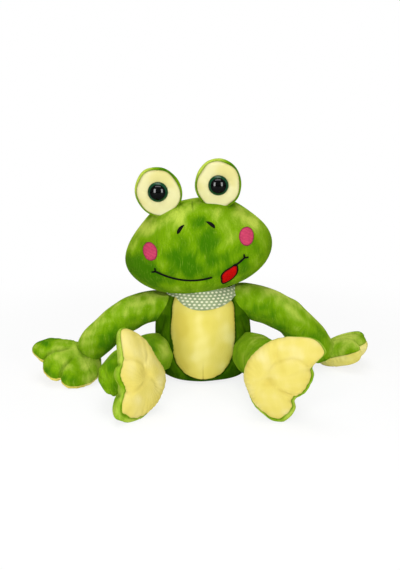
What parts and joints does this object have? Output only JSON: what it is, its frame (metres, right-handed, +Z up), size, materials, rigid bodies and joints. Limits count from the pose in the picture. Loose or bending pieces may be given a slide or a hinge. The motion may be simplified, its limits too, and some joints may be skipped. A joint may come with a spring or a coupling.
{
  "type": "plush frog",
  "caption": "Seated plush frog with spread limbs, raised eye pods, stitched smile with tongue, yellow belly, palms and soles, and a dotted neckerchief.",
  "frame": {"origin": "on the floor under the middle of the torso", "axes": "+Z up, the frog faces -Y, and +X is its left"},
  "size_m": [0.4227, 0.2376, 0.2719],
  "materials": {
    "green_plush": "matte",
    "yellow_plush": "matte",
    "pink_thread": "satin",
    "red_thread": "satin",
    "black_thread": "satin",
    "filling": "matte",
    "sage_cotton": "matte",
    "eye_plastic": "gloss",
    "washer_plastic": "satin"
  },
  "bodies": {
    "torso": {"torso_cover": "green_plush", "belly_panel": "yellow_plush", "torso_stuffing": "filling", "bandana": "sage_cotton", "bandana_knot": "sage_cotton", "bandana_tail_left": "sage_cotton", "bandana_tail_right": "sage_cotton"},
    "head": {"head_cover": "green_plush", "head_stuffing": "filling", "nostril_left": "black_thread", "nostril_right": "black_thread", "cheek_left": "pink_thread", "cheek_right": "pink_thread", "mouth_line": "black_thread", "mouth_corner": "black_thread", "tongue": "red_thread", "tongue_outline": "black_thread", "eye_pod_cover_left": "green_plush", "eye_panel_left": "yellow_plush", "eye_pod_stuffing_left": "filling", "safety_eye_left": "eye_plastic", "eye_washer_left": "washer_plastic", "eye_pod_cover_right": "green_plush", "eye_panel_right": "yellow_plush", "eye_pod_stuffing_right": "filling", "safety_eye_right": "eye_plastic", "eye_washer_right": "washer_plastic"},
    "arm_left": {"arm_cover_left": "green_plush", "arm_stuffing_left": "filling"},
    "hand_left": {"hand_back_left": "green_plush", "hand_palm_left": "yellow_plush", "hand_stuffing_left": "filling"},
    "leg_left": {"leg_cover_left": "green_plush", "leg_stuffing_left": "filling"},
    "foot_left": {"foot_sole_left": "yellow_plush", "foot_upper_left": "green_plush", "foot_stuffing_left": "filling"},
    "arm_right": {"arm_cover_right": "green_plush", "arm_stuffing_right": "filling"},
    "hand_right": {"hand_back_right": "green_plush", "hand_palm_right": "yellow_plush", "hand_stuffing_right": "filling"},
    "leg_right": {"leg_cover_right": "green_plush", "leg_stuffing_right": "filling"},
    "foot_right": {"foot_sole_right": "yellow_plush", "foot_upper_right": "green_plush", "foot_stuffing_right": "filling"}
  },
  "joints": [
    {"name": "neck_tilt", "type": "hinge", "parent": "torso", "child": "head", "pos_m": [0.0035, 0, 0.104], "axis": [0, 1, 0], "range_deg": [-4, 6]},
    {"name": "shoulder_left", "type": "hinge", "parent": "torso", "child": "arm_left", "pos_m": [0.05, 0, 0.095], "axis": [0, 0, -1], "range_deg": [-20, 20]},
    {"name": "wrist_left", "type": "hinge", "parent": "arm_left", "child": "hand_left", "pos_m": [0.153, 0.015, 0.024], "axis": [0, -1, 0], "range_deg": [-5, 15]},
    {"name": "hip_left", "type": "hinge", "parent": "torso", "child": "leg_left", "pos_m": [0.054, -0.014, 0.032], "axis": [0, 0, 1], "range_deg": [-8, 10]},
    {"name": "ankle_left", "type": "hinge", "parent": "leg_left", "child": "foot_left", "pos_m": [0.078, -0.144, 0.048], "axis": [0, 0, 1], "range_deg": [-12, 12]},
    {"name": "shoulder_right", "type": "hinge", "parent": "torso", "child": "arm_right", "pos_m": [-0.05, 0, 0.089], "axis": [0, 0, 1], "range_deg": [-20, 4]},
    {"name": "wrist_right", "type": "hinge", "parent": "arm_right", "child": "hand_right", "pos_m": [-0.14, -0.03, 0.04], "axis": [0, 1, 0], "range_deg": [-5, 15]},
    {"name": "hip_right", "type": "hinge", "parent": "torso", "child": "leg_right", "pos_m": [-0.054, -0.014, 0.032], "axis": [0, 0, -1], "range_deg": [-8, 10]},
    {"name": "ankle_right", "type": "hinge", "parent": "leg_right", "child": "foot_right", "pos_m": [-0.096, -0.138, 0.042], "axis": [0, 0, 1], "range_deg": [-12, 12]}
  ]
}
